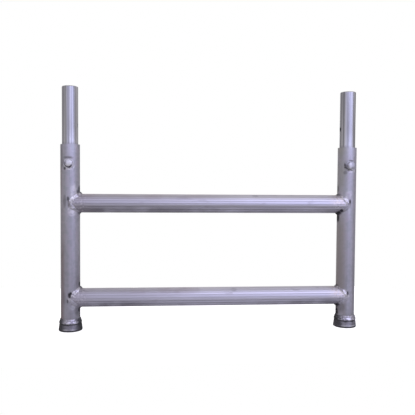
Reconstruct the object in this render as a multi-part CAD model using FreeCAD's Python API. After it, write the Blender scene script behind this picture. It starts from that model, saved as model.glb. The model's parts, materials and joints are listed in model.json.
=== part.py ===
import FreeCAD, Part
import math
import os

from FreeCAD import Vector

# Half-height welded aluminium scaffold frame: two uprights joined by two ribbed rungs, with a bolted
# spigot standing out of each upright and a welded collar round each foot.
# Millimetres. Origin on the floor midway between the uprights, +X along the rungs, +Z up.

# Uprights: plain drawn tube, open at the foot as a socket for the spigot of the frame below
upright_od = 50.8
upright_wall = 4.0
upright_height = 497.0
upright_spacing = 756.0

# Rungs: extruded tube with lengthwise ribs, saddle-cut at both ends to sit on the uprights
first_rung_height = 87.0
rung_pitch = 254.0
rung_shoulder = 0.4
rung_wall = 3.0
rib_count = 20
groove_depth = 0.4
groove_share = 0.7
saddle_gap = 0.1

# Spigots: smaller tube, its root seated in a counterbore at the top of each upright
spigot_reach = 153.0
spigot_depth = 110.0
spigot_wall = 3.6
spigot_clearance = 0.3
spigot_edge = 1.5
seat_step = 0.4
seat_fit = 0.05

# Interlock clip holes: through the inner wall of each spigot and of each upright's foot
clip_hole_diameter = 12.0
clip_hole_offset = 50.8

# Spigot bolts: one through bolt, two washers and a nut near the top of each upright
bolt_diameter = 12.7
bolt_drop = 50.8
bolt_hole_clearance = 0.4
bolt_stub = 3.0
hex_width = 19.0
head_height = 8.0
nut_height = 9.0
nut_fit = 0.05
washer_od = 27.0
washer_thickness = 2.5
washer_clearance = 0.3
washer_gap = 0.05
hex_turns = {"left": 30.0, "right": -22.0}

# Foot collars: rings slipped over the uprights, level with their ends
collar_wall = 5.5
collar_height = 22.0
collar_base_edge = 2.5
collar_slip = 0.1

# Welds: a bead along each saddle joint, and a fat bead on top of each foot collar
weld_leg = 4.0
weld_bulge = 1.6
weld_gap = 0.38
weld_stations = 24
foot_weld_width = 4.8
foot_weld_height = 11.0

# Radii, heights and places that follow from the sizes above
upright_r = upright_od / 2
socket_r = upright_r - upright_wall
spigot_r = socket_r - spigot_clearance
seat_r = socket_r + seat_step
seat_z = upright_height - spigot_depth
spigot_top = upright_height + spigot_reach
rung_r = upright_r - rung_shoulder
bolt_r = bolt_diameter / 2
bolt_z = upright_height - bolt_drop
washer_seat = upright_r + washer_gap
hex_seat = washer_seat + washer_thickness
collar_bore_r = upright_r + collar_slip
upright_x = {"left": -upright_spacing / 2, "right": upright_spacing / 2}
inward_sign = {"left": 1, "right": -1}
rung_z = {"lower": first_rung_height, "upper": first_rung_height + rung_pitch}

ALONG_X = Vector(1, 0, 0)
ALONG_Y = Vector(0, 1, 0)
ALONG_Z = Vector(0, 0, 1)


def rod(radius, centre, axis, half_length):
    """Round bar that reaches half_length to both sides of its centre."""
    return Part.makeCylinder(radius, 2 * half_length, centre - axis * half_length, axis)


def turned(corners):
    """Solid of revolution about Z from its (radius, height) corners."""
    outline = Part.makePolygon([Vector(radius, 0, z) for radius, z in corners + corners[:1]])
    return Part.Face(outline).revolve(Vector(), ALONG_Z, 360)


def cross_drilled(tube, clip_z, inward):
    """The tube with its spigot bolt's hole along Y and a clip hole in the wall that faces the frame."""
    bolt_hole = rod(bolt_r + bolt_hole_clearance, Vector(0, 0, bolt_z), ALONG_Y, upright_od)
    clip_hole = Part.makeCylinder(clip_hole_diameter / 2, upright_od, Vector(0, 0, clip_z), ALONG_X * inward)
    return tube.cut([bolt_hole, clip_hole])


def upright(inward):
    """Tube with the spigot's counterbore at the top, and a clip hole near its open foot."""
    tube = turned([
        (socket_r, 0),
        (upright_r, 0),
        (upright_r, upright_height),
        (seat_r, upright_height),
        (seat_r, seat_z),
        (socket_r, seat_z),
    ])
    return cross_drilled(tube, clip_hole_offset, inward)


def spigot(inward):
    """Tube whose root fills the counterbore and whose free end slides into the next frame's socket."""
    bore_r = spigot_r - spigot_wall
    root_r = seat_r - seat_fit
    tube = turned([
        (bore_r, seat_z),
        (root_r, seat_z),
        (root_r, upright_height),
        (spigot_r, upright_height),
        (spigot_r, spigot_top - spigot_edge),
        (spigot_r - spigot_edge, spigot_top),
        (bore_r, spigot_top),
    ])
    return cross_drilled(tube, upright_height + clip_hole_offset, inward)


def rib_outline():
    """Rung outline in the YZ plane: rounded grooves between ribs that keep the full radius."""
    pitch = 2 * math.pi / rib_count
    groove_half = pitch * groove_share / 2

    def at(radius, angle):
        return Vector(0, radius * math.cos(angle), radius * math.sin(angle))

    edges = []
    for i in range(rib_count):
        groove = i * pitch
        rib_start = at(rung_r, groove + groove_half)
        rib_end = at(rung_r, groove + pitch - groove_half)
        floor = at(rung_r - groove_depth, groove)
        edges.append(Part.Arc(at(rung_r, groove - groove_half), floor, rib_start).toShape())
        edges.append(Part.Arc(rib_start, at(rung_r, groove + pitch / 2), rib_end).toShape())
    return Part.Wire(edges)


def rung(z):
    """Ribbed tube from one upright's centre line to the other's, saddle-cut by both."""
    bar = Part.Face(rib_outline()).extrude(ALONG_X * upright_spacing)
    bar.translate(Vector(upright_x["left"], 0, z))
    cuts = [rod(rung_r - rung_wall, Vector(0, 0, z), ALONG_X, upright_spacing)]
    for x in upright_x.values():
        cuts.append(rod(upright_r + saddle_gap, Vector(x, 0, z), ALONG_Z, upright_od))
    return bar.cut(cuts)


def saddle_weld(side, z):
    """Fillet bead round the saddle joint, lofted through sections that lie on both tubes."""
    x = upright_x[side]
    inward = inward_sign[side]
    on_upright_r = upright_r + weld_gap
    on_rung_r = rung_r + weld_gap

    def on_upright(bearing, height):
        reach = inward * on_upright_r * math.cos(bearing)
        return Vector(x + reach, on_upright_r * math.sin(bearing), height)

    sections = []
    for i in range(weld_stations):
        turn = 2 * math.pi * i / weld_stations
        bearing = math.asin(on_rung_r * math.cos(turn) / on_upright_r)
        height = z + on_rung_r * math.sin(turn)
        root = on_upright(bearing, height)
        rung_toe = root + ALONG_X * inward * weld_leg
        toe_bearing = bearing + weld_leg * math.cos(turn) / on_upright_r
        upright_toe = on_upright(toe_bearing, height + weld_leg * math.sin(turn))
        upright_normal = Vector(inward * math.cos(bearing), math.sin(bearing), 0)
        rung_normal = Vector(0, math.cos(turn), math.sin(turn))
        crown = (rung_toe + upright_toe) / 2 + (upright_normal + rung_normal).normalize() * weld_bulge
        sections.append(Part.makePolygon([root, rung_toe, crown, upright_toe, root]))
    return Part.makeLoft(sections, True, True, True)


def hex_block(height, turn):
    """Six-sided block from y = 0 to y = height."""
    corner_r = hex_width / math.sqrt(3)
    corners = []
    for i in range(7):
        angle = math.radians(turn + 60 * i)
        corners.append(Vector(corner_r * math.cos(angle), 0, corner_r * math.sin(angle)))
    return Part.Face(Part.makePolygon(corners)).extrude(ALONG_Y * height)


def spigot_bolt(turn):
    """Hex bolt along the frame's depth, its head to the front and its tip just past the nut."""
    head = hex_block(head_height, turn)
    head.translate(-ALONG_Y * head_height)
    shank = Part.makeCylinder(bolt_r, 2 * hex_seat + nut_height + bolt_stub, Vector(), ALONG_Y)
    bolt = head.fuse(shank)
    bolt.translate(Vector(0, -hex_seat, bolt_z))
    return bolt


def spigot_nut(turn):
    nut = hex_block(nut_height, turn)
    nut = nut.cut(rod(bolt_r + nut_fit, Vector(), ALONG_Y, 2 * nut_height))
    nut.translate(Vector(0, hex_seat, bolt_z))
    return nut


def washer(start_y):
    """Flat washer that lies from start_y towards the back."""
    disc = Part.makeCylinder(washer_od / 2, washer_thickness, Vector(), ALONG_Y)
    disc = disc.cut(rod(bolt_r + washer_clearance, Vector(), ALONG_Y, 2 * washer_thickness))
    disc.translate(Vector(0, start_y, bolt_z))
    return disc


def foot_collar():
    """Ring with a bevelled base, its bore a slip fit on the upright."""
    outer_r = upright_r + collar_wall
    return turned([
        (collar_bore_r, 0),
        (outer_r - collar_base_edge, 0),
        (outer_r, collar_base_edge),
        (outer_r, collar_height),
        (collar_bore_r, collar_height),
    ])


def foot_weld():
    """Tall bead that fills the corner between the collar's top and the upright."""
    return turned([
        (collar_bore_r, collar_height),
        (collar_bore_r + foot_weld_width, collar_height),
        (collar_bore_r, collar_height + foot_weld_height),
    ])


# The main tubes are one node each. Like fasteners, collars and beads are groups of separate solids.
nodes = {}
groups = {"foot_collars": [], "foot_welds": [], "spigot_bolts": [], "bolt_washers": [], "spigot_nuts": []}
for side, x in upright_x.items():
    nodes[f"{side}_upright"] = upright(inward_sign[side]).translated(ALONG_X * x)
    nodes[f"{side}_spigot"] = spigot(inward_sign[side]).translated(ALONG_X * x)
    fitted = {
        "foot_collars": [foot_collar()],
        "foot_welds": [foot_weld()],
        "spigot_bolts": [spigot_bolt(hex_turns[side])],
        "bolt_washers": [washer(-hex_seat), washer(washer_seat)],
        "spigot_nuts": [spigot_nut(hex_turns[side])],
    }
    for group, shapes in fitted.items():
        groups[group] += [shape.translated(ALONG_X * x) for shape in shapes]
for level, z in rung_z.items():
    nodes[f"{level}_rung"] = rung(z)
    groups[f"{level}_rung_welds"] = [saddle_weld(side, z) for side in upright_x]
for group, shapes in groups.items():
    nodes[group] = Part.makeCompound(shapes)

os.makedirs("parts", exist_ok=True)
for name, shape in nodes.items():
    shape.exportStep(f"parts/{name}.step")
    print(name, len(shape.Solids), shape.isValid(), round(shape.Volume, 1))
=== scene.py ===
import json
import math

import bmesh
import bpy
from mathutils import Euler, Matrix, Vector, noise


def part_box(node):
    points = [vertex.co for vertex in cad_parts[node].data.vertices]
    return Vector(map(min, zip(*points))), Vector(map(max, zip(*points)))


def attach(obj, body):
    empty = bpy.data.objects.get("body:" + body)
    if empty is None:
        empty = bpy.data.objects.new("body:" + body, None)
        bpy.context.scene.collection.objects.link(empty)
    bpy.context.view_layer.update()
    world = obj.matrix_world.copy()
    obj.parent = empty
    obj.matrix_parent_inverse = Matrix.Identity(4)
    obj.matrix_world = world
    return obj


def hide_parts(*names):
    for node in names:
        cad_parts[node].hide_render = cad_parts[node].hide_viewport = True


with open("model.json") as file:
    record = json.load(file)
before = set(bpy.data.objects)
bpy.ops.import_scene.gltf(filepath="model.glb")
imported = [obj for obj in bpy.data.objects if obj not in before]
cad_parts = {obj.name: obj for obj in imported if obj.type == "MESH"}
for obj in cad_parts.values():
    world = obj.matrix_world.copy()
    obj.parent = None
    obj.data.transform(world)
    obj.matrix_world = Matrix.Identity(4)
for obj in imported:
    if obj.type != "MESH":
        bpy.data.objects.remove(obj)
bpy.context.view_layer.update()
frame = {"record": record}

# Uprights: the two legs, each one length of drawn aluminium tube. Each is drilled through for the bolt that
# holds its spigot and on the inner side for a locking clip, and its open foot is a socket for a frame below.
mm = 0.001
mounts = {mount["name"]: mount for mount in frame["record"]["mounts"]}
low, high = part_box("left_upright")
tube_r = (high.x - low.x) / 2
tube_height = high.z
tube_steps = 128
upright_x = {"left": (low.x + high.x) / 2, "right": -(low.x + high.x) / 2}
inward = {"left": 1, "right": -1}
socket_r = mounts["left_foot_socket"]["dims"]["r_mm"] * mm
seat_step = 0.4 * mm
seat_r = socket_r + seat_step
seat_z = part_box("left_spigot")[0].z
clip_r = mounts["left_foot_clip_hole"]["dims"]["r_mm"] * mm
foot_clip_z = mounts["left_foot_clip_hole"]["pos_m"][2]
low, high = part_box("spigot_bolts")
bolt_z = (low.z + high.z) / 2
bolt_hole_r = 6.75 * mm
hole_margin = 4 * mm
hole_steps = 64
upright_edge = 0.6 * mm
seam_gap = 0.001 * mm
sliver_width = 0.01 * mm
eased_angle = math.radians(40)
sharp_angle = math.radians(38)
# Half the width over which a finish changes from the frame's left half to its right half
middle_fade = 0.1
rung_z = {}
for level in ("lower", "upper"):
    low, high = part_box(f"{level}_rung")
    rung_z[level] = (low.z + high.z) / 2
drawn_dark = (0.27, 0.265, 0.315, 1)
drawn_pale = (0.79, 0.785, 0.865, 1)
mauve_mottle = (0.54, 0.485, 0.575, 1)
grey_mottle = (0.48, 0.515, 0.545, 1)
low_grime_grey = (0.23, 0.215, 0.225, 1)
foot_grime_grey = (0.28, 0.285, 0.275, 1)
rust_brown = (0.27, 0.175, 0.165, 1)
green_oxide = (0.455, 0.455, 0.435, 1)
tan_oxide = (0.42, 0.38, 0.355, 1)
scratch_grey = (0.66, 0.65, 0.70, 1)
brushed_and_highlight_pale = (0.86, 0.84, 0.89, 1)
# Sooty marks and painted shade: a brown film where thin and black where thick
soot_shade_film = (0.15, 0.14, 0.125, 1)
soot_shade_black = (0.018, 0.016, 0.02, 1)
soot_shade_thickens = (0.35, 0.9)
metal_edge_tint = (0.7, 0.7, 0.7, 1)
# Heights over which each stain comes in, from none to full
low_grime_fade = (0.36, 0.05)
foot_grime_fade = (0.085, 0.03)
brown_fade = (0.465, 0.42)
green_fade = (0.36, 0.42)
tan_fade = (0.34, 0.26)
# Marks on the front, in millimetres: side, offset to the right and up from the rung or bolt they lie at, half
# width, half height, then strength and, where it isn't the usual one, half depth. Sooty marks and painted shade
# lie in the craters and corners of the joints and below the rungs, and painted shadow with some dirt round the
# bolts. The metal is bright where a wire brush cleaned the joints for welding, and painted highlights lie by
# the lower rims of the washers.
mark_half_depth = 20
mark_edge = (1.4, 0.65)
mark_raggedness = 0.5
joint_soot_and_shade = {
    "upper": [
        ("right", 1.4, 7, 3.4, 8, 0.95),
        ("right", -24.5, -22, 10.5, 9, 1.0),
        ("right", -27, -26, 12, 10, 1.0),
        ("right", -20, -17, 6.5, 7, 0.95),
        ("right", -25.2, -38, 3, 14, 0.95),
        ("right", -15, -15, 6, 6, 0.3),
        ("right", -25, 25, 8, 6, 0.7, 16),
        ("right", -25.4, 42, 2, 14, 0.6),
        ("left", -1.8, 12, 4.5, 8, 0.75),
        ("left", 0.2, -3, 4, 10, 0.45),
        ("left", -10.6, 6.5, 6, 19, 0.5),
        ("left", 26, 29, 8, 9, 0.84, 16),
        ("left", 22.5, 31, 4, 7, 0.75),
        ("left", 24.5, 38, 3.4, 11, 0.8),
        ("left", 26, -27, 8, 5, 0.7),
    ],
    "lower": [
        ("right", -1.2, 8.5, 3.8, 8, 0.85),
        ("right", -25, -23, 9.5, 8.5, 1.0),
        ("right", -27, -26, 12, 9, 1.0),
        ("right", -18, -31, 15, 16, 0.42),
        ("right", -25, -44, 3.4, 14, 0.95),
        ("right", -26, 27, 9, 7, 0.65, 16),
        ("left", 1.6, 10, 5.6, 10.5, 0.95),
        ("left", 3.8, 14.6, 5, 6, 0.95),
        ("left", 13, 19, 9, 8, 0.16),
        ("left", -4, -5, 3.6, 7, 0.7),
        ("left", -14, 2, 8, 22, 0.3),
        ("left", 28, 29, 9, 7, 0.75, 16),
        ("left", 24.5, 38, 2.5, 8, 0.9),
        ("left", 22, 42, 7, 22, 0.35),
        ("left", 25, -30, 7, 12, 0.9),
        ("left", 21, -32, 9, 16, 0.5),
        ("left", 25.3, -47, 2.4, 15, 0.75),
    ],
}
joint_brushed = {
    "upper": [
        ("left", 15.9, 19, 7, 6, 0.9),
        ("left", 8, 21, 5, 11, 0.7),
        ("left", 12, 36, 10, 17, 0.6),
        ("left", 10.9, 12, 2.6, 5, 0.8),
        ("left", 8, 5, 2.4, 5, 0.75),
        ("left", 5, -2, 2.4, 5, 0.7),
        ("left", 2, -9, 2.4, 5, 0.7),
        ("left", -0.8, -16, 3, 5, 0.7),
        ("left", 9, -11, 5, 6, 0.9),
        ("left", 8.5, -24, 12, 11, 0.75),
        ("right", -8, 13, 6, 12, 0.9),
        ("right", -1.4, 30, 10, 14, 0.4),
        ("right", 0, -16, 5, 13, 0.3),
    ],
    "lower": [
        ("left", 11, 20, 8, 7, 0.25),
        ("left", 9, -22, 9, 9, 0.3),
        ("right", -9, 12, 6, 10, 0.8),
    ],
}
# Painted shadow of the heads and washers on the tubes, with some dirt
bolt_grime_and_shadow = [
    ("left", -10.6, -13.5, 3.8, 4.8, 0.75),
    ("left", 1.5, -11.2, 5, 1.5, 0.8),
    ("left", -2, 15.5, 15, 4.5, 0.5),
    ("left", -12.4, 2, 2, 9, 0.5),
    ("left", -18, 3, 6.5, 14, 0.4),
    ("left", -20, 20, 5, 42, 0.42),
    ("right", -13.4, 2, 2.2, 8, 0.7),
    ("right", -12.4, -4.6, 3.4, 2.2, 0.8),
    ("right", -8.2, -6.4, 3.8, 2.2, 0.8),
    ("right", -3.8, -8.2, 3.8, 2.0, 0.8),
    ("right", 0.6, -10.2, 3.8, 1.8, 0.8),
    ("right", 4.6, -12, 3, 1.6, 0.75),
    ("right", -12, -18, 6, 6, 0.45),
    ("right", 4, 14.5, 9, 3, 0.5),
    ("right", 22, -12, 4, 14, 0.35),
]
# Painted highlights on the tubes by the washers' lower rims
bolt_rim_highlights = [
    ("left", 1, -14.6, 9.5, 2.8, 1.0),
    ("left", 12.5, -9, 2.4, 6, 0.5),
    ("right", 3, -15.6, 8, 3, 0.7),
    ("right", 13, -13, 3, 6, 0.6),
]


def turned(corners, steps=tube_steps):
    """A closed outline of (radius, height) corners, swung once round the Z axis."""
    bm = bmesh.new()
    verts = [bm.verts.new((radius, 0, height)) for radius, height in corners]
    edges = [bm.edges.new((verts[i - 1], verts[i])) for i in range(len(verts))]
    bmesh.ops.spin(
        bm, geom=verts + edges, cent=(0, 0, 0), axis=(0, 0, 1), angle=2 * math.pi, steps=steps, use_merge=True
    )
    bmesh.ops.remove_doubles(bm, verts=bm.verts, dist=seam_gap)
    bmesh.ops.recalc_face_normals(bm, faces=bm.faces)
    return bm


def ease_edges(bm, width, segments=2):
    """Rounds every sharp edge."""
    sharp = [edge for edge in bm.edges if edge.is_manifold and edge.calc_face_angle() > eased_angle]
    bmesh.ops.bevel(
        bm, geom=sharp, offset=width, segments=segments, profile=0.5, affect="EDGES", material=-1, clamp_overlap=True
    )


def drill(bm, holes):
    """Cuts round holes out of the bmesh, each given by its radius, start and end."""
    cutter = bmesh.new()
    for radius, start, end in holes:
        axis = end - start
        turn = axis.to_track_quat("Z", "Y").to_matrix().to_4x4()
        bmesh.ops.create_cone(
            cutter, cap_ends=True, segments=hole_steps, radius1=radius, radius2=radius, depth=axis.length,
            matrix=Matrix.Translation((start + end) / 2) @ turn,
        )
    workshop = []
    for name, shape in (("blank", bm), ("cutter", cutter)):
        mesh = bpy.data.meshes.new(name)
        shape.to_mesh(mesh)
        workshop.append(bpy.data.objects.new(name, mesh))
        bpy.context.scene.collection.objects.link(workshop[-1])
    cutter.free()
    cut = workshop[0].modifiers.new("holes", "BOOLEAN")
    cut.solver = "EXACT"
    cut.object = workshop[1]
    drilled = bpy.data.meshes.new_from_object(workshop[0].evaluated_get(bpy.context.evaluated_depsgraph_get()))
    bm.clear()
    bm.from_mesh(drilled)
    bmesh.ops.remove_doubles(bm, verts=bm.verts, dist=sliver_width)
    bmesh.ops.dissolve_degenerate(bm, edges=bm.edges, dist=sliver_width)
    bmesh.ops.recalc_face_normals(bm, faces=bm.faces)
    for mesh in [drilled] + [tool.data for tool in workshop]:
        bpy.data.meshes.remove(mesh)


def beside_hole(wall_r, hole_z, hole_r):
    """Corners of a tube's wall just below and just above a hole, so that the cut stays in a short band."""
    return [(wall_r, hole_z - hole_r - hole_margin), (wall_r, hole_z + hole_r + hole_margin)]


def drilled_tube(side, corners, edge_width, clip_z):
    """Tube on an upright's line, drilled through for the spigot's bolt and on the inner side for a clip."""
    tube = turned(corners)
    ease_edges(tube, edge_width)
    past_tube = 2 * tube_r
    drill(tube, [
        (bolt_hole_r, Vector((0, -past_tube, bolt_z)), Vector((0, past_tube, bolt_z))),
        (clip_r, Vector((0, 0, clip_z)), Vector((past_tube * inward[side], 0, clip_z))),
    ])
    bmesh.ops.translate(tube, vec=(upright_x[side], 0, 0), verts=tube.verts)
    return tube


def add_piece(bm, name, node, finish):
    """Makes the bmesh a shown piece that rides on the frame and stands for one of its nodes."""
    mesh = bpy.data.meshes.new(name)
    bm.to_mesh(mesh)
    bm.free()
    mesh.shade_smooth()
    mesh.set_sharp_from_angle(angle=sharp_angle)
    mesh.materials.append(finish)
    piece = bpy.data.objects.new(name, mesh)
    bpy.context.scene.collection.objects.link(piece)
    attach(piece, "root")
    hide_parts(node)


class Shade:
    """A value, vector or colour in a finish's nodes. Arithmetic on it adds the Math nodes."""

    def __init__(self, tree, socket=None):
        self.tree = tree
        self.socket = socket

    def node(self, kind, settings=None, inputs=None, output=0):
        """A node of that kind: its settings first, then the values or links of its sockets."""
        made = self.tree.nodes.new(kind)
        for name, setting in (settings or {}).items():
            setattr(made, name, setting)
        for name, value in (inputs or {}).items():
            if isinstance(value, Shade):
                self.tree.links.new(value.socket, made.inputs[name])
            else:
                made.inputs[name].default_value = value
        return Shade(self.tree, made.outputs[output]) if made.outputs else None

    def math(self, operation, a, b=0.0):
        return self.node("ShaderNodeMath", {"operation": operation}, {0: a, 1: b})

    def __add__(self, other):
        return self.math("ADD", self, other)

    def __sub__(self, other):
        return self.math("SUBTRACT", self, other)

    def __rsub__(self, other):
        return self.math("SUBTRACT", other, self)

    def __mul__(self, other):
        return self.math("MULTIPLY", self, other)

    def __pow__(self, other):
        return self.math("POWER", self, other)

    def __abs__(self):
        return self.math("ABSOLUTE", self)

    __radd__ = __add__
    __rmul__ = __mul__

    def either(self, other):
        """The stronger of two masks."""
        return self.math("MAXIMUM", self, other)

    def step(self, start, end):
        """0 before start, 1 after end and smooth between; start may be the larger."""
        limits = {"Value": self, "From Min": start, "From Max": end}
        return self.node("ShaderNodeMapRange", {"interpolation_type": "SMOOTHSTEP"}, limits)

    def mix(self, first, second):
        """The first colour where this mask is 0 and the second where it is 1."""
        return self.node("ShaderNodeMix", {"data_type": "RGBA"}, {0: self, 6: first, 7: second}, output=2)

    def axis(self, name):
        return self.node("ShaderNodeSeparateXYZ", None, {0: self}, output=name)

    def noise(self, scale, detail=2.0, stretch=(1, 1, 1)):
        """Cloudy noise from 0 to 1 on this vector, drawn out where stretch is small."""
        spread = self.node("ShaderNodeMapping", None, {"Vector": self, "Scale": stretch})
        return self.node("ShaderNodeTexNoise", None, {"Vector": spread, "Scale": scale, "Detail": detail})

    def distance(self, point, stretch=(1, 1, 1)):
        """How far this place is from a point, with some axes stretched."""
        away = self.node("ShaderNodeVectorMath", {"operation": "SUBTRACT"}, {0: self, 1: point})
        scaled = self.node("ShaderNodeVectorMath", {"operation": "MULTIPLY"}, {0: away, 1: stretch})
        return self.node("ShaderNodeVectorMath", {"operation": "LENGTH"}, {0: scaled}, output="Value")

    def marked(self, marks, height, radius=tube_r):
        """Mask of a list of marks, ragged at their edges, that lie at this height on a round of this radius."""
        ragged = self.noise(160, 3.0) * mark_raggedness
        strongest = 0.0
        for side, across, up, half_width, half_height, strength, *half_depth in marks:
            depth = math.sqrt(max(0, radius ** 2 - (across * mm) ** 2))
            middle = (upright_x[side] + across * mm, -depth, height + up * mm)
            halves = (half_width, half_depth[0] if half_depth else mark_half_depth, half_height)
            off = self.distance(middle, [1 / (half * mm) for half in halves])
            strongest = ((off + ragged).step(*mark_edge) * strength).either(strongest)
        return strongest

    def sooted_and_shaded(self, colour):
        """The colour under this mask of sooty marks and painted shade: a brown film where thin, black where thick.
        """
        return self.mix(colour, self.step(*soot_shade_thickens).mix(soot_shade_film, soot_shade_black))

    def metal(self, colour, roughness, height, relief, metallic=1.0):
        """Closes a finish: a metal with this colour and roughness, and relief metres of surface height."""
        bump = self.node("ShaderNodeBump", None, {"Strength": 1.0, "Distance": relief, "Height": height})
        surface = self.node("ShaderNodeBsdfPrincipled", None, {
            "Base Color": colour,
            "Metallic": metallic,
            "Roughness": roughness,
            "Normal": bump,
            "Specular Tint": metal_edge_tint,
        })
        self.node("ShaderNodeOutputMaterial", None, {"Surface": surface})


def new_finish(name):
    """An empty material, and the Object coordinates that its patterns follow."""
    material = bpy.data.materials.new(name)
    material.use_nodes = True
    material.node_tree.nodes.clear()
    return material, Shade(material.node_tree).node("ShaderNodeTexCoord", output="Object")


def upright_finish():
    """Satin drawn tube: draw lines, cloudy oxide, sooty marks and painted shade at the joints, painted shadow and
    highlights by the bolts, dirt low down, rust-brown runs.
    """
    material, place = new_finish("drawn_aluminium")
    x, z = place.axis("X"), place.axis("Z")
    clouds = place.noise(16, 5.0)
    lines = place.noise(190, 3.0, (1, 1, 0.02))
    runs = place.noise(34, 4.0, (1, 1, 0.1))
    scratches = place.noise(340, 2.0, (1, 1, 0.07)).step(0.66, 0.74)
    mottle = place.noise(105, 3.0)
    tone = clouds * 0.35 + lines * 0.35 + mottle.step(0.36, 0.64) * 0.13 + 0.085
    colour = tone.mix(drawn_dark, drawn_pale)
    colour = (mottle.step(0.50, 0.72) * 0.55).mix(colour, mauve_mottle)
    colour = (mottle.step(0.50, 0.30) * 0.45).mix(colour, grey_mottle)
    low_grime = z.step(*low_grime_fade) * runs.step(0.2, 0.75)
    colour = (low_grime * 0.56).mix(colour, low_grime_grey)
    foot_grime = z.step(*foot_grime_fade) * clouds.step(0.25, 0.55)
    colour = (foot_grime * 0.25).mix(colour, foot_grime_grey)
    outer_left = x.step(upright_x["left"] - 8 * mm, upright_x["left"] - 23 * mm)
    brown = outer_left * z.step(*brown_fade) * runs.step(0.3, 0.6)
    colour = (brown * 0.7).mix(colour, rust_brown)
    inner_right = x.step(upright_x["right"] + 2 * mm, upright_x["right"] - 20 * mm)
    inner_right *= x.step(-middle_fade, middle_fade)
    green = inner_right * z.step(*green_fade) * clouds.step(0.3, 0.6)
    colour = (green * 0.7).mix(colour, green_oxide)
    tan = inner_right * z.step(*tan_fade) * runs.step(0.3, 0.55)
    colour = (tan * 0.6).mix(colour, tan_oxide)
    colour = (scratches * 0.25).mix(colour, scratch_grey)
    # Painted highlights by the washers' lower rims
    colour = place.marked(bolt_rim_highlights, bolt_z).mix(colour, brushed_and_highlight_pale)
    # Painted shadow and some dirt round the bolts, with sooty marks and painted shade at the joints
    grime_and_shade = place.marked(bolt_grime_and_shadow, bolt_z)
    for level, height in rung_z.items():
        brushed = place.marked(joint_brushed[level], height) * place.noise(130, 4.0).step(0.25, 0.6)
        colour = brushed.mix(colour, brushed_and_highlight_pale)
        grime_and_shade = grime_and_shade.either(place.marked(joint_soot_and_shade[level], height))
    roughness = 0.48 + clouds * 0.12 + low_grime * 0.10 - scratches * 0.06 + grime_and_shade * 0.3
    place.metal(grime_and_shade.sooted_and_shaded(colour), roughness, lines * 0.6 + clouds * 0.4, 0.05 * mm, 1 - grime_and_shade * 0.8)
    return material


upright_material = upright_finish()
upright_outline = [
    (socket_r, 0),
    (tube_r, 0),
    *beside_hole(tube_r, foot_clip_z, clip_r),
    *beside_hole(tube_r, bolt_z, bolt_hole_r),
    (tube_r, tube_height),
    (seat_r, tube_height),
    (seat_r, seat_z),
    (socket_r, seat_z),
    *reversed(beside_hole(socket_r, foot_clip_z, clip_r)),
]
for side in upright_x:
    tube = drilled_tube(side, upright_outline, upright_edge, foot_clip_z)
    add_piece(tube, f"{side}_upright_tube", f"{side}_upright", upright_material)

# Rungs: two lengths of extruded aluminium tube with twenty shallow grooves along them for grip. Both ends
# are cut to a saddle that sits on the uprights, and years of hooks and boots have worn and dented them.
rung_shoulder = 0.4 * mm
rung_r = tube_r - rung_shoulder
rung_wall = 3.0 * mm
rib_count = 20
rib_columns = 20
rib_pitch = 2 * math.pi / rib_count
groove_width = 2.4 * mm
groove_depth = 0.45 * mm
groove_fullness = 1.5
rib_crest = 0.1 * mm
rung_roll = {"lower": math.radians(-2), "upper": math.radians(1.5)}
saddle_gap = 0.1 * mm
saddle_r = tube_r + saddle_gap
rung_rows = 72
outside_rows = 64
# Dents: distance from the rung's middle, angle from the back over the top in degrees, and depth
dent_reach = 14 * mm
dent_falloff = 4
dents = {
    "lower": [(-0.21, 80, 0.5 * mm), (0.06, 125, 0.7 * mm), (0.23, 60, 0.5 * mm)],
    "upper": [(-0.28, 100, 0.6 * mm), (-0.05, 70, 0.5 * mm), (0.12, 115, 0.8 * mm), (0.27, 170, 0.5 * mm)],
}
# Painted shade and dirt below: how much in the middle, how much more to the left and to the right, and where
# the left part starts
shade_and_dirt_along = {"lower": (0.3, 1.6, 0.7, -0.12), "upper": (0.6, 0.7, 0.0, 0.1)}
highlight_band_from = {"lower": -0.14, "upper": -0.04}
highlight_band_fade = 0.14
rung_roughness = {"lower": 0.41, "upper": 0.34}
rung_dark = (0.55, 0.54, 0.61, 1)
rung_pale = (0.74, 0.73, 0.82, 1)
underside_shade_and_dirt = (0.19, 0.18, 0.19, 1)
rung_left_shade_grey = (0.42, 0.405, 0.44, 1)
highlight_band_pale = (0.84, 0.83, 0.92, 1)
warm_grey = (0.46, 0.40, 0.45, 1)
groove_dirt_shade = (0.06, 0.05, 0.065, 1)
scuff_grey = (0.42, 0.39, 0.44, 1)
end_grey = (0.46, 0.42, 0.46, 1)
end_brushed = (0.78, 0.71, 0.68, 1)
spatter_bright = (0.86, 0.82, 0.86, 1)
spatter_dark = (0.24, 0.22, 0.27, 1)


def wrapped_grid(columns, rows, shape):
    """A ring of tube: a grid closed both ways, each vertex put where shape(u, v) says."""
    bm = bmesh.new()
    bmesh.ops.create_grid(bm, x_segments=columns, y_segments=rows, size=0.5)
    for vert in bm.verts:
        vert.co = shape(vert.co.x + 0.5, vert.co.y + 0.5)
    bmesh.ops.remove_doubles(bm, verts=bm.verts, dist=seam_gap)
    bmesh.ops.recalc_face_normals(bm, faces=bm.faces)
    return bm


def groove(turn):
    """How deep the outside lies below the rib tops at this angle about the rung."""
    from_middle = abs((turn + rib_pitch / 2) % rib_pitch - rib_pitch / 2)
    return groove_depth * max(0.0, 1 - (from_middle * rung_r / (groove_width / 2)) ** groove_fullness)


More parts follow.
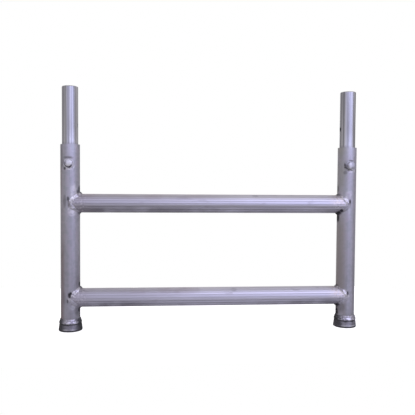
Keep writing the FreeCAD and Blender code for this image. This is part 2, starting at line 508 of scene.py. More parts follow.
def ribbed_rung(level):
    """The rung's outside on the first rows, its bore on the last ones, both ending on the saddles."""

    def shape(u, v):
        turn = 2 * math.pi * u
        row = round(v * rung_rows) % rung_rows
        outside = row < outside_rows
        if outside:
            along = 2 * row / (outside_rows - 1) - 1
            radius = rung_r - groove(turn - rung_roll[level])
        else:
            along = 1 - 2 * (row - outside_rows) / (rung_rows - outside_rows - 1)
            radius = rung_r - rung_wall
        y = radius * math.cos(turn)
        x = along * (upright_x["right"] - math.sqrt(saddle_r ** 2 - y ** 2))
        for dent_x, dent_turn, depth in dents[level] if outside else []:
            off_turn = (turn - math.radians(dent_turn) + math.pi) % (2 * math.pi) - math.pi
            off = math.hypot(x - dent_x, off_turn * rung_r) / dent_reach
            radius -= depth * math.exp(-dent_falloff * off ** 2)
        return Vector((x, radius * math.cos(turn), rung_z[level] + radius * math.sin(turn)))

    return wrapped_grid(rib_count * rib_columns, rung_rows, shape)


def rung_finish(level):
    """Ribbed extrusion: a painted highlight band along the upper front, dirt in the grooves painted darker below as
    shade, painted shade with some dirt along the bottom, the left half painted darker, scuffs, and sooty marks
    and painted shade near the welds.
    """
    material, place = new_finish(f"{level}_ribbed_aluminium")
    x, y = place.axis("X"), place.axis("Y")
    up = place.axis("Z") - rung_z[level]
    radius = (y * y + up * up) ** 0.5
    crest = radius.step(rung_r - groove_depth, rung_r - rib_crest)
    clouds = place.noise(13, 5.0)
    lines = place.noise(210, 3.0, (0.015, 1, 1))
    scuffs = place.noise(55, 4.0, (0.35, 1, 1)).step(0.6, 0.72)
    colour = (clouds * 0.55 + lines * 0.45).mix(rung_dark, rung_pale)
    middle, left, right, left_start = shade_and_dirt_along[level]
    # Painted shade with some dirt along the bottom, more towards both ends
    underside = (up - x.step(0.235, 0.3) * 9 * mm * right).step(-1 * mm, -17 * mm)
    amount = middle + x.step(left_start, -0.31) * left + x.step(0.06, 0.28) * right
    dirt = underside * clouds.step(0.25, 0.6) * amount
    colour = (dirt * 0.62).mix(colour, underside_shade_and_dirt)
    # Painted shade over the left half, which is also made rougher
    dull_and_shaded_left = x.step(-0.03, -0.28) * (0.5 + clouds * 0.5)
    colour = (dull_and_shaded_left * 0.48).mix(colour, rung_left_shade_grey)
    # Painted highlight band along the upper front of the rung
    highlight_band = up.step(8 * mm, 13 * mm) * x.step(highlight_band_from[level], highlight_band_from[level] + highlight_band_fade)
    colour = (highlight_band * 0.5).mix(colour, highlight_band_pale)
    warm = up.step(4 * mm, 20 * mm) * clouds.step(0.4, 0.6) * x.step(0.1, -0.12)
    colour = (warm * 0.4).mix(colour, warm_grey)
    # Dirt in the grooves, with painted shade making them darker on the lower side
    groove_dirt_and_shade = (1 - crest) * (0.25 + up.step(2 * mm, -9 * mm) * 0.6)
    colour = groove_dirt_and_shade.mix(colour, groove_dirt_shade)
    colour = (scuffs * crest * 0.35).mix(colour, scuff_grey)
    ends = abs(x).step(0.30, 0.355)
    colour = (ends * x.step(middle_fade, -middle_fade) * 0.35).mix(colour, end_grey)
    brushed = x.step(0.315, 0.35) * up.step(-6 * mm, 4 * mm) * place.noise(120, 4.0).step(0.3, 0.6)
    colour = (brushed * 0.8).mix(colour, end_brushed)
    spatter = place.noise(210, 2.0)
    heated = abs(x).step(0.325, 0.345)
    colour = (heated * spatter.step(0.54, 0.66) * 0.4).mix(colour, spatter_bright)
    colour = (heated * spatter.step(0.46, 0.34) * 0.3).mix(colour, spatter_dark)
    # Sooty marks and painted shade near the welds
    grime_and_shade = place.marked(joint_soot_and_shade[level], rung_z[level])
    roughness = rung_roughness[level] + clouds * 0.12 + groove_dirt_and_shade * 0.2 + dirt * 0.1 + dull_and_shaded_left * 0.1
    roughness += scuffs * 0.06 + grime_and_shade * 0.3
    bare = (1 - grime_and_shade * 0.8) * (1 - groove_dirt_and_shade * 0.6)
    place.metal(grime_and_shade.sooted_and_shaded(colour), roughness, lines * 0.5 + clouds * 0.3 - scuffs * 0.4, 0.05 * mm, bare)
    return material


for level in rung_z:
    add_piece(ribbed_rung(level), f"{level}_rung_tube", f"{level}_rung", rung_finish(level))

# Saddle welds: a hand-laid aluminium fillet bead round each rung end, joining it to the upright. The bead is
# rippled like stacked coins and its width wanders. It reaches further over the upright at the front and back
# than above and below, where it differs from side to side.
bead_leg = 5.0 * mm
bead_front_leg = 10.0 * mm
bead_leg_above = {"left": 6.5 * mm, "right": 3.6 * mm}
bead_leg_below = {"left": 3.0 * mm, "right": 5.5 * mm}
bead_bulge = 0.7 * mm
bead_lump = 0.9 * mm
bead_sink = 0.3 * mm
bead_root = 0.6 * mm
bead_columns = 260
bead_face_rows = 11
bead_root_shares = (0.9, 0.5, 0.1)
bead_rows = bead_face_rows + len(bead_root_shares)
bead_seed = {"left": 1.3, "right": 5.1}
wander_scale = 3
leg_wander = 0.2
bulge_wander = 0.3
lump_scale = 9
lump_shift = 3
ripple_pitch = 3.2 * mm
ripple_depth = 0.28
ripple_lean = 0.3
joint_stretch = 1.2
joint_length = 2 * math.pi * rung_r * joint_stretch
weld_bright = (0.86, 0.84, 0.87, 1)
weld_smoke = (0.40, 0.375, 0.43, 1)
weld_dull_shade = (0.40, 0.39, 0.43, 1)
weld_brushed = (0.90, 0.88, 0.90, 1)


def uneven(turn, scale, level):
    """Smooth unevenness round a ring, about -1 to 1, finer at a larger scale and different at each level."""
    return noise.noise(Vector((scale * math.cos(turn), scale * math.sin(turn), level)))


def saddle_bead(side, z):
    """Fillet bead whose toes run on the upright and on the rung, its root sunk into both."""
    sign = inward[side]
    seed = bead_seed[side] + z
    ripples = round(joint_length / ripple_pitch)

    def on_upright(bearing, height):
        return Vector((upright_x[side] + sign * tube_r * math.cos(bearing), tube_r * math.sin(bearing), height))

    def shape(u, v):
        turn = 2 * math.pi * (u % 1.0)
        row = round(v * bead_rows) % bead_rows
        bearing = math.asin(rung_r * math.cos(turn) / tube_r)
        height = z + rung_r * math.sin(turn)
        upright_normal = Vector((sign * math.cos(bearing), math.sin(bearing), 0))
        rung_normal = Vector((0, math.cos(turn), math.sin(turn)))
        out = (upright_normal + rung_normal).normalized()
        wander = uneven(turn, wander_scale, seed)
        front = math.cos(turn) ** 4
        corner_leg = bead_leg_above[side] if math.sin(turn) > 0 else bead_leg_below[side]
        rung_leg = (corner_leg + (bead_leg - corner_leg) * front) * (1 + leg_wander * wander)
        upright_leg = (corner_leg + (bead_front_leg - corner_leg) * front) * (1 + leg_wander * wander)

        def fillet(share):
            toe_bearing = bearing + upright_leg * share * math.cos(turn) / tube_r
            foot = on_upright(toe_bearing, height + upright_leg * share * math.sin(turn))
            return foot + Vector((sign * rung_leg * (1 - share), 0, 0))

        if row >= bead_face_rows:
            return fillet(bead_root_shares[row - bead_face_rows]) - out * (bead_sink + bead_root)
        share = row / (bead_face_rows - 1)
        crown = 4 * share * (1 - share)
        beat = (ripples * turn / (2 * math.pi) + ripple_lean * crown) % 1.0
        ripple = 1 - ripple_depth * (2 * abs(beat - 0.5)) ** 2
        lump = uneven(turn, lump_scale, seed + lump_shift * share)
        rise = crown * (bead_bulge * ripple * (1 + bulge_wander * wander) + bead_lump * lump)
        return fillet(share) + out * (rise - bead_sink * (1 - crown) ** 3)

    return wrapped_grid(bead_columns, bead_rows, shape)


def joined(shapes):
    """All the bmeshes as one."""
    first, *others = shapes
    for other in others:
        mesh = bpy.data.meshes.new("joined")
        other.to_mesh(mesh)
        other.free()
        first.from_mesh(mesh)
        bpy.data.meshes.remove(mesh)
    return first


def weld_finish(level):
    """Weld metal: bright mottled crowns with smoky patches; rougher and painted darker as shade below the rung's
    middle; sooty marks and painted shade from the marks.
    """
    material, place = new_finish(f"{level}_saddle_weld_metal")
    height = rung_z[level]
    clouds = place.noise(170, 4.0)
    grain = place.noise(700, 2.0)
    smoke = clouds.step(0.40, 0.62)
    # Painted shade below the rung's middle, which is also made rougher
    dull = place.axis("Z").step(height + 8 * mm, height - 6 * mm)
    colour = smoke.mix(weld_bright, weld_smoke)
    colour = (dull * 0.8).mix(colour, weld_dull_shade)
    colour = (place.marked(joint_brushed[level], height) * 0.5).mix(colour, weld_brushed)
    # Sooty marks and painted shade from the marks
    grime_and_shade = place.marked(joint_soot_and_shade[level], height)
    roughness = 0.38 + smoke * 0.1 + dull * 0.1 + grime_and_shade * 0.3
    place.metal(grime_and_shade.sooted_and_shaded(colour), roughness, grain * 0.3 + clouds * 0.7, 0.4 * mm, 1 - grime_and_shade * 0.8)
    return material


for level, z in rung_z.items():
    bead_pair = joined([saddle_bead(side, z) for side in upright_x])
    add_piece(bead_pair, f"{level}_rung_beads", f"{level}_rung_welds", weld_finish(level))

# Foot collars: a short flared aluminium ring round each foot, level with the tube's end, which spreads the
# load and stops the tube's mouth from splitting. Rounded at the base, knocked about and dirty, with painted shade
# black at its sides, under the weld and along its base.
collar_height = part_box("foot_collars")[1].z
collar_wall = 5.9 * mm
collar_r = tube_r + collar_wall
collar_flare = 2.2 * mm
collar_slip = 0.1 * mm
collar_bore_r = tube_r + collar_slip
collar_base_round = 1.6 * mm
collar_base_steps = 8
collar_top_round = 1.2 * mm
collar_top_steps = 5
collar_flank_steps = 9
collar_columns = 160
collar_seed = {"left": 2.0, "right": 7.0}
knock_scale = 2.2
knock_shift = 60
knock_depth = 0.5 * mm
knock_free_height = 4 * mm
collar_grey = (0.42, 0.41, 0.455, 1)
collar_dirt = (0.21, 0.20, 0.22, 1)
collar_left_dirt = (0.16, 0.15, 0.18, 1)
collar_highlight_pale = (0.64, 0.63, 0.65, 1)
collar_black = (0.026, 0.026, 0.022, 1)


def foot_collar(side):
    """Ring whose outside is dented a little; v runs up the outside, over the top and down the bore."""
    outline = []
    for i in range(collar_base_steps + 1):
        turn = math.radians(-90 + 90 * i / collar_base_steps)
        centre_r = collar_r - collar_base_round
        outline.append((centre_r + collar_base_round * math.cos(turn), collar_base_round * (1 + math.sin(turn))))
    flank_height = collar_height - collar_top_round - collar_base_round
    for i in range(1, collar_flank_steps + 1):
        share = i / collar_flank_steps
        outline.append((collar_r - collar_flare * share, collar_base_round + share * flank_height))
    for i in range(1, collar_top_steps + 1):
        turn = math.radians(90 * i / collar_top_steps)
        centre_r = collar_r - collar_flare - collar_top_round
        height = collar_height - collar_top_round * (1 - math.sin(turn))
        outline.append((centre_r + collar_top_round * math.cos(turn), height))
    outline.append((collar_bore_r, collar_height))
    outline.append((collar_bore_r, 0))

    def shape(u, v):
        turn = 2 * math.pi * (u % 1.0)
        radius, height = outline[round(v * len(outline)) % len(outline)]
        if radius > collar_bore_r and height > 0:
            knock = uneven(turn, knock_scale, collar_seed[side] + knock_shift * height)
            radius += knock_depth * knock * min(1.0, height / knock_free_height)
        return Vector((upright_x[side] + radius * math.cos(turn), radius * math.sin(turn), height))

    return wrapped_grid(collar_columns, len(outline), shape)


def black_sides(x, clouds):
    """Mask of painted shade on the flanks of a foot, blacker on the side that faces the other upright."""
    across = upright_x["right"] - abs(x) + (clouds - 0.5) * 16 * mm
    outer = (x.step(middle_fade, -middle_fade) * 7 * mm - across).step(14 * mm, 29 * mm)
    return across.step(9 * mm, 28 * mm).either(outer * 0.9)


def collar_finish():
    """Oily dirt over dull metal, with painted shade black at the sides, under the weld and along the base, and a
    painted highlight just above the base.
    """
    material, place = new_finish("dirty_shaded_collar_aluminium")
    x, z = place.axis("X"), place.axis("Z")
    on_left = x.step(middle_fade, -middle_fade)
    clouds = place.noise(48, 5.0)
    grit = place.noise(420, 3.0)
    dirt = (clouds * 0.7 + grit * 0.3).step(0.35, 0.65)
    # Painted shade: black at the sides, under the weld and along the base
    sides = black_sides(x, clouds)
    under_bead = (z + clouds * 7 * mm).step(collar_height - 4 * mm, collar_height + 1 * mm)
    base = z.step(4.6 * mm, 3.6 * mm)
    black = (sides * (0.78 + on_left * 0.14)).either(under_bead * 0.9).either(base * 0.85)
    colour = dirt.mix(collar_grey, collar_dirt)
    colour = (on_left * 0.4).mix(colour, collar_left_dirt)
    # Painted highlight just above the base
    highlight_band = z.step(4.0 * mm, 5.0 * mm) * z.step(9 * mm, 6.6 * mm) * (1 - sides) * clouds.step(0.3, 0.5)
    colour = (highlight_band * 0.8).mix(colour, collar_highlight_pale)
    colour = black.mix(colour, collar_black)
    roughness = 0.40 + dirt * 0.18 - highlight_band * 0.1 + black * 0.25
    place.metal(colour, roughness, clouds * 0.4 + grit * 0.6, 0.25 * mm, 1 - black * 0.85)
    return material


collars = joined([foot_collar(side) for side in upright_x])
add_piece(collars, "foot_collar_rings", "foot_collars", collar_finish())

# Foot welds: a fat bead of weld metal laid in two passes on top of each collar, closing it to the tube all
# the way round. It is lumpy, mottled with smoke on the low pass and dull on the upper one, with painted shade
# black at the sides.
foot_bead_sink = 0.6 * mm
foot_bead_low = collar_height - foot_bead_sink
foot_bead_height = 12.5 * mm
foot_bead_width = 4.4 * mm
foot_bead_swell = 0.9 * mm
foot_bead_fullness = 0.8
foot_toe_ease = 6
foot_bead_columns = 220
foot_bead_face_rows = 15
foot_bead_root_shares = (0.85, 0.5, 0.1)
foot_bead_rows = foot_bead_face_rows + len(foot_bead_root_shares)
foot_bead_root_r = tube_r - 0.8 * mm
foot_bead_toe_r = tube_r - 0.2 * mm
foot_bead_seed = {"left": 3.0, "right": 8.0}
foot_wander_scale = 2.5
height_level = 9
height_wander = 0.14
swell_wander = 0.5
pass_count = 1.9
pass_start = 0.05
lump_pitch = 5.5 * mm
lump_lean = 5
lump_wander = 2
foot_weld_bright = (0.76, 0.745, 0.80, 1)
foot_weld_smoke = (0.34, 0.32, 0.37, 1)
foot_weld_dull = (0.42, 0.405, 0.46, 1)
foot_weld_black = (0.02, 0.02, 0.017, 1)


def foot_bead(side):
    """Bead in two rounded passes, a low fat one and a thin one above it, both lumpy along their length."""
    lumps = round(2 * math.pi * tube_r / lump_pitch)

    def shape(u, v):
        turn = 2 * math.pi * (u % 1.0)
        row = round(v * foot_bead_rows) % foot_bead_rows
        wander = uneven(turn, foot_wander_scale, foot_bead_seed[side])
        taller = uneven(turn, foot_wander_scale, foot_bead_seed[side] + height_level)
        height_here = foot_bead_height * (1 + height_wander * taller)
        if row >= foot_bead_face_rows:
            share = foot_bead_root_shares[row - foot_bead_face_rows]
            radius = foot_bead_root_r
        elif row == foot_bead_face_rows - 1:
            share = 1.0
            radius = foot_bead_toe_r
        else:
            share = row / (foot_bead_face_rows - 1)
            beat = 0.5 + 0.5 * math.cos(lumps * turn + lump_lean * share + lump_wander * wander)
            passes = abs(math.sin(math.pi * (share * pass_count + pass_start)))
            swell = foot_bead_swell * passes * (0.5 + 0.5 * beat) * (1 + swell_wander * wander)
            radius = tube_r + foot_bead_width * (1 - share) ** foot_bead_fullness
            radius += swell * min(1.0, foot_toe_ease * (1 - share))
        height = foot_bead_low + height_here * share
        return Vector((upright_x[side] + radius * math.cos(turn), radius * math.sin(turn), height))

    return wrapped_grid(foot_bead_columns, foot_bead_rows, shape)


def foot_weld_finish():
    """Weld metal mottled with smoke, dull on the upper pass, painted shade on the sides facing left and right."""
    material, place = new_finish("foot_weld_metal")
    clouds = place.noise(150, 4.0)
    grain = place.noise(600, 2.0)
    smoke = clouds.step(0.42, 0.60)
    colour = smoke.mix(foot_weld_bright, foot_weld_smoke)
    upper = place.axis("Z").step(collar_height + 3 * mm, collar_height + 7 * mm)
    colour = (upper * 0.75).mix(colour, foot_weld_dull)
    # Painted shade on the sides that face left and right
    sides = black_sides(place.axis("X"), clouds)
    colour = (sides * 0.96).mix(colour, foot_weld_black)
    place.metal(colour, 0.34 + smoke * 0.16 + sides * 0.25, grain * 0.4 + clouds * 0.6, 0.3 * mm, 1 - sides * 0.8)
    return material


foot_beads = joined([foot_bead(side) for side in upright_x])
add_piece(foot_beads, "foot_weld_beads", "foot_welds", foot_weld_finish())

# Spigots: a smaller aluminium tube let into the top of each upright, which carries the next frame's foot.
# Sliding frames on and off has polished it along its length. The clip hole is drilled in its inner side.
spigot_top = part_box("left_spigot")[1].z
spigot_r = mounts["left_spigot_pin"]["dims"]["r_mm"] * mm
seat_fit = 0.05 * mm
spigot_root_r = seat_r - seat_fit
spigot_wall = 3.6 * mm
spigot_bore_r = spigot_r - spigot_wall
spigot_chamfer = 1.5 * mm
spigot_edge = 0.3 * mm
spigot_clip_z = mounts["left_spigot_clip_hole"]["pos_m"][2]
# Painted shade in long stripes, as marks at half the height of what stands out of the upright
spigot_shade_streaks = [
    ("left", -15.6, 0, 4, 130, 0.4),
    ("left", 15.6, 0, 4, 130, 0.45),
    ("right", -16, 0, 3, 130, 0.25),
    ("right", 8, 0, 1.6, 130, 0.3),
]
spigot_dark = (0.31, 0.315, 0.355, 1)
spigot_pale = (0.78, 0.785, 0.83, 1)
streak_shade_grey = (0.20, 0.20, 0.235, 1)
spigot_joint_grime = (0.35, 0.34, 0.38, 1)
nick_grey = (0.45, 0.44, 0.48, 1)


def spigot_finish():
    """Rubbed tube: bright lengthwise polish with dull bands, stripes of painted shade, nicks across it and dirt
    above the joint; the left spigot is painted a little paler.
    """
    material, place = new_finish("polished_spigot_aluminium")
    clouds = place.noise(20, 4.0)
    bands = place.noise(140, 2.0, (1, 1, 0.006))
    lines = place.noise(420, 2.0, (1, 1, 0.01))
    nicks = place.noise(300, 2.0, (0.2, 0.2, 1)).step(0.66, 0.72)
    tone = bands * 0.45 + place.noise(290, 2.0, (1, 1, 0.006)) * 0.4 + lines * 0.15
    # The left spigot painted a little paler, as painted light
    tone += place.axis("X").step(middle_fade, -middle_fade) * 0.04
    colour = tone.step(0.40, 0.60).mix(spigot_dark, spigot_pale)
    # Painted shade in stripes
    streaks = place.marked(spigot_shade_streaks, (tube_height + spigot_top) / 2, spigot_r)
    colour = streaks.mix(colour, streak_shade_grey)
    joint = place.axis("Z").step(tube_height + 9 * mm, tube_height) * clouds.step(0.3, 0.6)
    colour = (joint * 0.5).mix(colour, spigot_joint_grime)
    colour = (nicks * 0.4).mix(colour, nick_grey)
    roughness = 0.30 + bands * 0.10 + clouds * 0.06 + joint * 0.12
    place.metal(colour, roughness, lines * 0.7 + clouds * 0.3, 0.03 * mm)
    return material


spigot_material = spigot_finish()
spigot_outline = [
    (spigot_bore_r, seat_z),
    (spigot_root_r, seat_z),
    *beside_hole(spigot_root_r, bolt_z, bolt_hole_r),
    (spigot_root_r, tube_height),
    (spigot_r, tube_height),
    *beside_hole(spigot_r, spigot_clip_z, clip_r),
    (spigot_r, spigot_top - spigot_chamfer),
    (spigot_r - spigot_chamfer, spigot_top),
    (spigot_bore_r, spigot_top),
    *reversed(beside_hole(spigot_bore_r, spigot_clip_z, clip_r)),
]
for side in upright_x:
    tube = drilled_tube(side, spigot_outline, spigot_edge, spigot_clip_z)
    add_piece(tube, f"{side}_spigot_tube", f"{side}_spigot", spigot_material)

# Spigot bolts, washers and nuts: a plated steel hex bolt through each upright and spigot, head to the front,
# with a flat washer under the head and under the nut. Each head stopped at its own angle when it was tightened.
bolt_r = 6.35 * mm
bolt_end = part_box("spigot_bolts")[1].y
shank_steps = 64
hex_width = 19.0 * mm
hex_corner_r = hex_width / math.sqrt(3)
hex_bore_clear = bolt_r * 1.02
flat_angle = math.radians(60)
hex_seat_r = hex_width / 2 * 0.97
hex_seat_rise = 0.35 * mm
hex_turn = {"left": math.radians(30), "right": math.radians(-22)}
crown_drop = 0.9 * mm
round_steps = 96
head_height = 8.0 * mm
head_rim = head_height - 1 * mm
head_crown_r = 8.6 * mm
head_dome = [(6 * mm, head_rim + 0.6 * mm), (3 * mm, head_height - 0.1 * mm), (0, head_height)]
thread_length = 14 * mm
thread_runout = 1 * mm
thread_pitch = 1.75 * mm
thread_depth = 0.9 * mm
thread_root = (0.45, 0.55)
thread_crest = 0.95
nut_height = 9.0 * mm
nut_crown_r = 9.1 * mm
nut_bore_r = bolt_r + 0.05 * mm
nut_chamfer = 1 * mm
washer_r = 13.5 * mm
washer_thickness = 2.5 * mm
washer_edge = 0.5 * mm
washer_bore_r = bolt_r + 0.3 * mm
washer_seat = tube_r + 0.05 * mm
hex_seat = washer_seat + washer_thickness
facing_back = Matrix.Rotation(math.radians(-90), 4, "X")
facing_front = Matrix.Rotation(math.radians(90), 4, "X")
# Marks on the heads and washers, as on the uprights: painted shade and painted highlights. A painted shadow
# ring lies round the left head.
head_mark_r = 34 * mm
head_shade = [
    ("left", -6.5, 1.5, 3, 7, 0.4),
    ("left", -7.2, 5.5, 3.6, 5, 0.4),
    ("right", -7.6, -1, 2, 8, 0.25),
]
# Painted highlights on the heads and washers
head_highlights = [("left", 2.2, -1, 7, 8, 0.9), ("right", -1.5, 0, 4.5, 10, 0.6)]
washer_highlights = [
    ("left", 0, -12, 13, 6, 1.0),
    ("left", 11, -6, 5, 8, 0.9),
    ("left", -12, -4, 4, 8, 0.8),
    ("right", 4, -12, 8, 4, 0.8),
]
shadow_ring_inside = (7.9 * mm, 8.9 * mm)
shadow_ring_outside = (11.4 * mm, 10.6 * mm)
shadow_ring_slope = 0.4
shadow_ring_fade = 5 * mm
head_zinc = (0.74, 0.735, 0.78, 1)
head_zinc_worn_shaded = (0.40, 0.395, 0.43, 1)
washer_zinc = (0.66, 0.65, 0.69, 1)
washer_zinc_worn_shaded = (0.36, 0.355, 0.38, 1)
zinc_highlight = (0.88, 0.875, 0.92, 1)
grime_shade_black = (0.06, 0.05, 0.08, 1)


def hex_sides(bm, height):
    """Presses what lies below this height into six flats, with a corner on the X axis."""
    for vert in bm.verts:
        radius = math.hypot(vert.co.x, vert.co.y)
        if radius > hex_bore_clear and 0 <= vert.co.z <= height:
            off_flat = math.atan2(vert.co.y, vert.co.x) % flat_angle - flat_angle / 2
            limit = hex_width / 2 / math.cos(off_flat)
            if radius > limit:
                vert.co.x *= limit / radius
                vert.co.y *= limit / radius


def hex_outline(height, crown_r):
    """Half-section of a crowned hex from its seat to the edge of its far face."""
    return [
        (hex_seat_r, 0),
        (hex_corner_r, hex_seat_rise),
        (hex_corner_r, height - crown_drop),
        (crown_r, height),
    ]


def set_at(bm, turn, facing, side, y):
    """Turns a fastener made along Z, then sets its seat at this depth on the bolt's line."""
    place = Matrix.Translation((upright_x[side], y, bolt_z)) @ Matrix.Rotation(-turn, 4, "Y") @ facing
    bmesh.ops.transform(bm, matrix=place, verts=bm.verts)
    return bm


def hex_head(side):
    """Head with its crown to the front, domed a little in the middle as forged heads are."""
    head = turned([(0, 0)] + hex_outline(head_rim, head_crown_r) + head_dome, round_steps)
    hex_sides(head, head_height)
    return set_at(head, hex_turn[side], facing_front, side, -hex_seat)


def threaded_shank(side):
    """Shank from the head's seat to its tip, the last stretch cut with a thread."""
    length = bolt_end + hex_seat
    height = length - thread_length
    outline = [(0, 0), (bolt_r, 0), (bolt_r, height)]
    while height + thread_pitch < length - thread_runout:
        outline += [(bolt_r - thread_depth, height + thread_pitch * share) for share in thread_root]
        outline.append((bolt_r, height + thread_pitch * thread_crest))
        height += thread_pitch
    outline += [(bolt_r - thread_depth, length), (0, length)]
    return set_at(turned(outline, shank_steps), 0, facing_back, side, -hex_seat)


def hex_nut(side):
    """Nut crowned at the back, its bore just clear of the thread and chamfered."""
    bore = [(nut_bore_r + nut_chamfer, nut_height), (nut_bore_r, nut_height - nut_chamfer)]
    nut = turned([(nut_bore_r, 0)] + hex_outline(nut_height, nut_crown_r) + bore, round_steps)
    hex_sides(nut, nut_height)
    return set_at(nut, hex_turn[side], facing_back, side, hex_seat)


def flat_washer(side, y):
    """Stamped washer with its edges rolled over."""
    ring = turned([
        (washer_bore_r, 0), (washer_r, 0), (washer_r, washer_thickness), (washer_bore_r, washer_thickness)
    ], round_steps)
    ease_edges(ring, washer_edge, 3)
    return set_at(ring, 0, facing_back, side, y)


def fastener_finish(name, bright, worn_and_shaded, shade_and_grime_marks, highlights, mark_r):
    """Zinc plate, faintly cloudy and worn, painted darker on the right bolt, with painted shade, some dirt and
    painted highlights from the marks, and a painted shadow ring round the left head.
    """
    material, place = new_finish(name)
    x, z = place.axis("X"), place.axis("Z")
    clouds = place.noise(110, 3.0)
    grain = place.noise(900, 2.0)
    # Random wear, with the right bolt painted darker as shade
    worn = clouds.step(0.4, 0.7) * 0.4 + x.step(-middle_fade, middle_fade) * 0.6
    # Painted shadow ring round the left head, darkest at the lower left
    from_bolt = place.distance((upright_x["left"], 0, bolt_z), (1, 0, 1))
    low_left = ((x - upright_x["left"]) * shadow_ring_slope + z - bolt_z).step(shadow_ring_fade, -shadow_ring_fade)
    shadow_ring = from_bolt.step(*shadow_ring_inside) * from_bolt.step(*shadow_ring_outside) * low_left
    # Painted shade and some dirt from the marks
    grime_and_shade = place.marked(shade_and_grime_marks, bolt_z, mark_r).either(shadow_ring)
    colour = worn.mix(bright, worn_and_shaded)
    # Painted highlights from the marks
    colour = place.marked(highlights, bolt_z, mark_r).mix(colour, zinc_highlight)
    colour = grime_and_shade.mix(colour, grime_shade_black)
    place.metal(colour, 0.42 + worn * 0.1 + grime_and_shade * 0.2, grain * 0.4 + clouds * 0.6, 0.05 * mm, 1 - grime_and_shade * 0.8)
    return material


fastener_material = fastener_finish(
    "zinc_plated_steel", head_zinc, head_zinc_worn_shaded, head_shade, head_highlights, head_mark_r
)
washer_material = fastener_finish(
    "zinc_plate_grime_and_shade", washer_zinc, washer_zinc_worn_shaded, bolt_grime_and_shadow, washer_highlights, tube_r
)
bolts = joined([make(side) for side in upright_x for make in (hex_head, threaded_shank)])
add_piece(bolts, "spigot_bolt_pair", "spigot_bolts", fastener_material)
washers = joined([flat_washer(side, y) for side in upright_x for y in (-hex_seat, washer_seat)])
add_piece(washers, "bolt_washer_set", "bolt_washers", washer_material)
nuts = joined([hex_nut(side) for side in upright_x])
add_piece(nuts, "spigot_nut_pair", "spigot_nuts", fastener_material)

# Floor and backdrop: a pale floor that keeps the frame's shadow, and a plain white surround. Both show
# white to the camera, and to reflections where they lie behind the frame.
floor_size = (1.5, 0.9, 1)
floor_middle = (0, 0.15, -0.3 * mm)
floor_grey = (0.8, 0.8, 0.8, 1)
floor_glow = 0.82
floor_behind = (0.45, 0.6)
backdrop_edge = (0.90, 0.97)
room_tint = (1.0, 0.96, 0.95, 1)
unlit = (0, 0, 0, 1)
white = (1, 1, 1, 1)
bm = bmesh.new()
bmesh.ops.create_grid(bm, x_segments=1, y_segments=1, size=0.5)
bmesh.ops.scale(bm, vec=floor_size, verts=bm.verts)
bmesh.ops.translate(bm, vec=floor_middle, verts=bm.verts)
floor_mesh = bpy.data.meshes.new("floor")
bm.to_mesh(floor_mesh)
bm.free()
floor = bpy.data.objects.new("floor", floor_mesh)
bpy.context.scene.collection.objects.link(floor)


def shown_white(place, behind):
    """Mask of the rays that see the surround as white: all from the camera, and reflections where it is behind."""
    camera, glossy, clear = [
        place.node("ShaderNodeLightPath", output=f"Is {kind} Ray") for kind in ("Camera", "Glossy", "Transmission")
    ]
    return camera + (glossy + clear) * behind


floor_material, place = new_finish("pale_floor")
seen = shown_white(place, place.axis("Y").step(*floor_behind))
pale = place.node("ShaderNodeBsdfDiffuse", None, {"Color": floor_grey})
glow = place.node("ShaderNodeEmission", None, {"Color": white, "Strength": floor_glow})
lit = place.node("ShaderNodeAddShader", None, {0: pale, 1: glow})
floor_surface = place.node("ShaderNodeMixShader", None, {0: seen, 1: pale, 2: lit})
place.node("ShaderNodeOutputMaterial", None, {"Surface": floor_surface})
floor_mesh.materials.append(floor_material)

world = bpy.data.worlds.new("studio")
world.use_nodes = True
world.node_tree.nodes.clear()
bpy.context.scene.world = world
toward = Shade(world.node_tree).node("ShaderNodeTexCoord", output="Generated")
right, back, above = [toward.axis(name) for name in "XYZ"]
seen = shown_white(toward, back.step(*backdrop_edge))
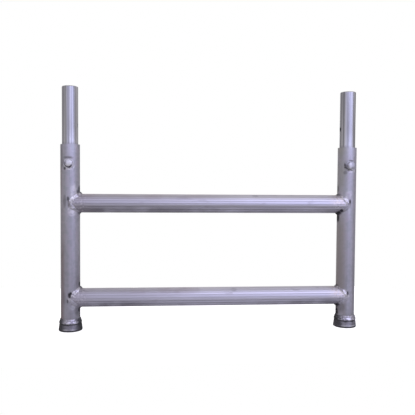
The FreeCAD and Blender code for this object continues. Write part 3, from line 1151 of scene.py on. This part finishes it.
# The room is lighter to the right and above, darker below, and a little lighter low on the left
level_light = 0.33 + right.step(-0.6, 1.0) * 0.12 + above.step(0.0, 0.9) * 0.20 - above.step(-0.05, -0.6) * 0.06
level_light += right.step(-0.2, -0.8) * above.step(0.45, 0.15) * 0.14
dark = toward.node("ShaderNodeBackground", None, {"Color": unlit, "Strength": 0.0})
plain = toward.node("ShaderNodeBackground", None, {"Color": room_tint, "Strength": 1.0})
room = toward.node("ShaderNodeMixShader", None, {0: level_light, 1: dark, 2: plain})
backdrop = toward.node("ShaderNodeBackground", None, {"Color": white, "Strength": 1.0})
surround = toward.node("ShaderNodeMixShader", None, {0: seen, 1: room, 2: backdrop})
toward.node("ShaderNodeOutputWorld", None, {"Surface": surround})

# Studio lights: a large cool softbox at the front right, above the frame, a weaker one at the front left and a
# weak warm one behind. For each: place, width and height, power and colour.
lamp_aim = Vector((0, 0, 0.3))
lamps = {
    "key_softbox": ((1.3, -2.0, 1.45), (2.6, 2.5), 29.5, (0.61, 0.63, 1.0)),
    "fill_softbox": ((-0.85, -2.0, 1.45), (1.7, 2.5), 8.0, (0.63, 0.64, 1.0)),
    "back_softbox": ((-0.5, 1.6, 1.9), (1.6, 1.0), 3.0, (1.0, 0.97, 0.95)),
}
for name, (where, size, power, colour) in lamps.items():
    lamp = bpy.data.lights.new(name, "AREA")
    lamp.shape = "RECTANGLE"
    lamp.size, lamp.size_y = size
    lamp.energy = power
    lamp.color = colour
    softbox = bpy.data.objects.new(name, lamp)
    softbox.location = where
    softbox.visible_camera = False
    softbox.rotation_euler = (lamp_aim - Vector(where)).to_track_quat("-Z", "Y").to_euler()
    bpy.context.scene.collection.objects.link(softbox)

# Camera: where the photograph was taken from, a little left of the middle and just above the upper rung, turned
# and tipped as the edges of the tubes show.
camera_place = (-0.1310, -1.4704, 0.3851)
camera_yaw = math.radians(4.701)
camera_pitch = math.radians(-2.119)
camera_roll = math.radians(0.368)
lens = bpy.data.cameras.new("camera")
lens.lens = 46.93
lens.sensor_width = 36.0
camera = bpy.data.objects.new("camera", lens)
camera.location = camera_place
aim = Euler((math.pi / 2 + camera_pitch, 0, -camera_yaw)).to_matrix() @ Matrix.Rotation(camera_roll, 3, "Z")
camera.rotation_euler = aim.to_euler()
bpy.context.scene.collection.objects.link(camera)
bpy.context.scene.camera = camera
bpy.context.scene.view_settings.view_transform = "Standard"
